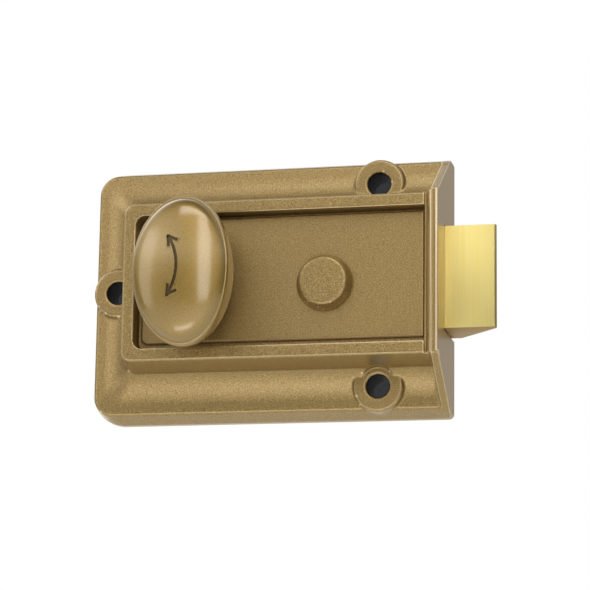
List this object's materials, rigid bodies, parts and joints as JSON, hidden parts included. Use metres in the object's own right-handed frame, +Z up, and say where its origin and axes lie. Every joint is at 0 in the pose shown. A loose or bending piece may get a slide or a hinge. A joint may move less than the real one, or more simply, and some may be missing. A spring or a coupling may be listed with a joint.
{
  "type": "rim night latch",
  "caption": "Surface-mounted spring latch: cast case with three screw lugs, oval turn knob, sliding snib button, sprung bevelled brass bolt and internal mechanism.",
  "frame": {"origin": "Centre of the mounting face, the plane that lies on the door.", "axes": "+X is the way the bolt throws, +Y points into the door, so the room side faces -Y, and +Z is up."},
  "size_m": [0.1023, 0.0379, 0.064],
  "materials": {
    "bronze_enamel": "metallic bronze enamel with fine speckle, satin",
    "gloss_bronze": "the same bronze enamel, smoother and glossier",
    "zinc_plated_steel": "zinc-plated steel",
    "spring_steel": "oiled spring steel",
    "brass": "linished yellow brass"
  },
  "bodies": {
    "case": {"case_cover": "bronze_enamel", "back_plate": "zinc_plated_steel", "back_plate_screw_1": "zinc_plated_steel", "back_plate_screw_2": "zinc_plated_steel", "back_plate_screw_3": "zinc_plated_steel", "back_plate_screw_4": "zinc_plated_steel", "spring_guide_rod": "zinc_plated_steel", "spring_abutment": "zinc_plated_steel", "abutment_rivet_upper": "zinc_plated_steel", "abutment_rivet_lower": "zinc_plated_steel", "bolt_spring": "spring_steel", "spindle_bush": "brass", "snib_leaf_spring": "spring_steel", "snib_spring_screw": "zinc_plated_steel"},
    "turn": {"knob": "gloss_bronze", "knob_grub_screw": "zinc_plated_steel", "spindle": "zinc_plated_steel", "spindle_clip": "spring_steel", "retractor_cam": "zinc_plated_steel", "cylinder_follower": "brass"},
    "bolt": {"latch_bolt": "brass", "bolt_tail": "zinc_plated_steel", "bolt_tail_rivet_upper": "zinc_plated_steel", "bolt_tail_rivet_lower": "zinc_plated_steel", "drive_post": "zinc_plated_steel"},
    "snib": {"snib_plate": "bronze_enamel", "snib_button": "bronze_enamel", "snib_stud": "zinc_plated_steel", "snib_catch": "zinc_plated_steel"}
  },
  "joints": [
    {"name": "knob_turn", "type": "hinge", "parent": "case", "child": "turn", "pos_m": [-0.015, -0.02, 0], "axis": [0, -1, 0], "range_deg": [0, 60]},
    {"name": "bolt_throw", "type": "slide", "parent": "case", "child": "bolt", "axis": [1, 0, 0], "range_m": [-0.0125, 0], "stiffness_N_per_m": 150, "springref_m": 0.02, "deforming": ["bolt_spring"]},
    {"name": "snib_slide", "type": "slide", "parent": "case", "child": "snib", "axis": [0, 0, 1], "range_m": [-0.0014, 0]}
  ],
  "couplings": [
    {"joint": "knob_turn", "follows": "bolt_throw", "rad_per_m": -83.775}
  ]
}
